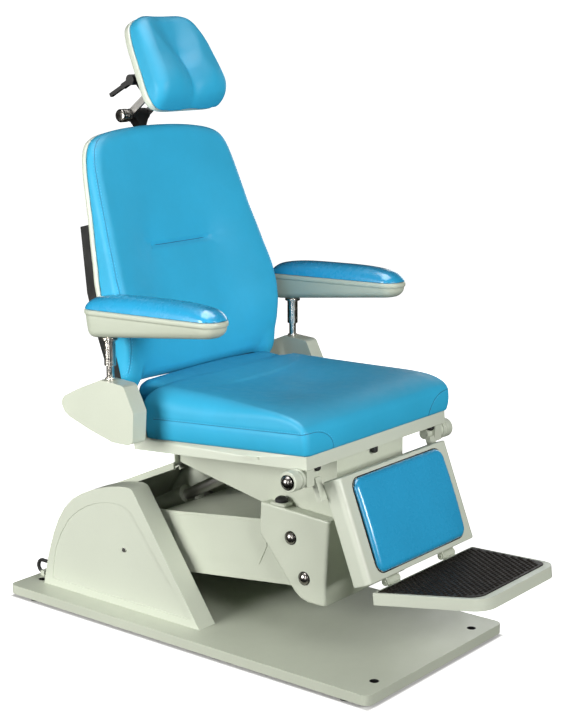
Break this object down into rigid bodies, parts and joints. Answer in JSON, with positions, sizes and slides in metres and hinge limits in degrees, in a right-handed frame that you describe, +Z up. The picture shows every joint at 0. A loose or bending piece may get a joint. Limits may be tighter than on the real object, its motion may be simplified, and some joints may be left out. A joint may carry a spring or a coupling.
{
  "type": "examination chair",
  "caption": "Powered patient examination chair: floor plate, parallel lift arm, padded seat, reclining back, jointed head rest, sliding arm rests, leg rest and folding foot plate.",
  "frame": {"origin": "on the floor at the centre of the floor plate, 8 mm under its underside, the height of its rubber feet", "axes": "+Z up; the sitter faces -Y, so the back is towards +Y; -X is the side nearest the camera in the picture, the sitter's right hand side"},
  "size_m": [0.696, 1.2527, 1.3607],
  "materials": {
    "ivory_paint": "satin",
    "ivory_plastic": "satin",
    "blue_vinyl": "gloss",
    "black_rubber": "matte",
    "black_paint": "satin",
    "black_plastic": "satin",
    "bright_chrome": "polished",
    "dark_chrome": "polished",
    "plain_steel": "satin",
    "dark_steel": "satin"
  },
  "bodies": {
    "base": {"base_plate": "ivory_paint", "base_feet": "black_rubber", "side_cover_left": "ivory_plastic", "side_cover_right": "ivory_plastic", "cover_screws": "plain_steel", "rear_cover": "ivory_paint", "pivot_stands": "ivory_paint", "rear_shafts": "plain_steel", "cable_gland": "ivory_plastic", "rear_cable": "black_rubber"},
    "actuator": {"actuator_tube": "ivory_paint"},
    "actuator_rod_body": {"actuator_rod": "plain_steel"},
    "lift_arm": {"arm_side_left": "ivory_paint", "arm_side_right": "ivory_paint", "arm_top_plate": "ivory_paint", "arm_bottom_plate": "ivory_paint"},
    "tie_bars": {"tie_links": "dark_steel"},
    "seat": {"carrier_left": "ivory_paint", "carrier_right": "ivory_paint", "carrier_front": "ivory_paint", "pivot_bolts": "dark_chrome", "rubber_buffers": "black_rubber", "buffer_collars": "ivory_paint", "seat_support": "ivory_paint", "rear_guard": "ivory_paint", "seat_frame": "ivory_plastic", "seat_cushion": "blue_vinyl", "back_hinge_shaft": "plain_steel", "bracket_left": "ivory_paint", "bracket_right": "ivory_paint", "bracket_spacers": "plain_steel", "arm_rods": "bright_chrome", "legrest_blocks": "ivory_paint"},
    "legrest": {"legrest_panel": "ivory_plastic", "legrest_pad": "blue_vinyl", "legrest_lugs": "ivory_paint", "legrest_stubs": "ivory_paint", "legrest_caps": "dark_chrome", "legrest_ears": "ivory_paint"},
    "footrest": {"footrest_plate": "ivory_plastic", "footrest_mat": "black_rubber", "footrest_knuckles": "ivory_paint"},
    "armrest_left": {"arm_sleeve_left": "bright_chrome", "arm_shell_left": "ivory_plastic", "arm_pad_left": "blue_vinyl"},
    "armrest_right": {"arm_sleeve_right": "bright_chrome", "arm_shell_right": "ivory_plastic", "arm_pad_right": "blue_vinyl"},
    "back": {"back_shell": "ivory_plastic", "back_cushion": "blue_vinyl", "back_bar_left": "black_paint", "back_bar_right": "black_paint", "head_guide": "black_paint"},
    "head_post_body": {"head_post": "black_paint"},
    "head_arm": {"head_links": "plain_steel"},
    "head_knob_body": {"head_knob": "dark_chrome"},
    "headrest": {"head_bracket": "black_paint", "head_shell": "ivory_plastic", "head_cushion": "blue_vinyl"},
    "head_lever_body": {"head_lever": "black_plastic"}
  },
  "joints": [
    {"name": "lift", "type": "hinge", "parent": "base", "child": "lift_arm", "pos_m": [0, 0.22, 0.218], "axis": [-1, 0, 0], "range_deg": [0, 24]},
    {"name": "tie_swing", "type": "hinge", "parent": "base", "child": "tie_bars", "pos_m": [0, 0.184, 0.136], "axis": [-1, 0, 0], "range_deg": [0, 24]},
    {"name": "seat_level", "type": "hinge", "parent": "lift_arm", "child": "seat", "pos_m": [0, -0.245, 0.275], "axis": [-1, 0, 0], "range_deg": [-24, 0]},
    {"name": "actuator_swing", "type": "hinge", "parent": "base", "child": "actuator", "pos_m": [0, 0.335, 0.173], "axis": [-1, 0, 0], "range_deg": [0, 26.8]},
    {"name": "actuator_extend", "type": "slide", "parent": "actuator", "child": "actuator_rod_body", "axis": [0, -0.88, 0.4749], "range_m": [0, 0.08]},
    {"name": "recline", "type": "hinge", "parent": "seat", "child": "back", "pos_m": [0, 0.1615, 0.5135], "axis": [-1, 0, 0], "range_deg": [0, 70]},
    {"name": "legrest_raise", "type": "hinge", "parent": "seat", "child": "legrest", "pos_m": [0, -0.344, 0.445], "axis": [-1, 0, 0], "range_deg": [0, 40]},
    {"name": "footrest_fold", "type": "hinge", "parent": "legrest", "child": "footrest", "pos_m": [0, -0.4705, 0.22], "axis": [-1, 0, 0], "range_deg": [0, 42]},
    {"name": "armrest_left_height", "type": "slide", "parent": "seat", "child": "armrest_left", "axis": [0, 0, 1], "range_m": [-0.02, 0.05]},
    {"name": "armrest_right_height", "type": "slide", "parent": "seat", "child": "armrest_right", "axis": [0, 0, 1], "range_m": [-0.02, 0.05]},
    {"name": "head_height", "type": "slide", "parent": "back", "child": "head_post_body", "axis": [0, 0.2334, 0.9724], "range_m": [-0.02, 0.08]},
    {"name": "head_arm_swing", "type": "hinge", "parent": "head_post_body", "child": "head_arm", "pos_m": [0, 0.32, 1.13], "axis": [-1, 0, 0], "range_deg": [-8, 40]},
    {"name": "knob_turn", "type": "hinge", "parent": "head_arm", "child": "head_knob_body", "pos_m": [0, 0.32, 1.13], "axis": [1, 0, 0], "range_deg": [-180, 180]},
    {"name": "head_tilt_turn", "type": "hinge", "parent": "head_arm", "child": "headrest", "pos_m": [0, 0.262, 1.175], "axis": [-1, 0, 0], "range_deg": [-15, 20]},
    {"name": "lever_turn", "type": "hinge", "parent": "headrest", "child": "head_lever_body", "pos_m": [0, 0.297, 1.21], "axis": [1, 0, 0], "range_deg": [0, 60]}
  ],
  "couplings": [
    {"joint": "tie_swing", "follows": "lift", "ratio": 1},
    {"joint": "seat_level", "follows": "lift", "ratio": -1},
    {"joint": "actuator_swing", "follows": "lift", "ratio": 1.1125},
    {"joint": "actuator_extend", "follows": "lift", "m_per_rad": 0.18102}
  ]
}
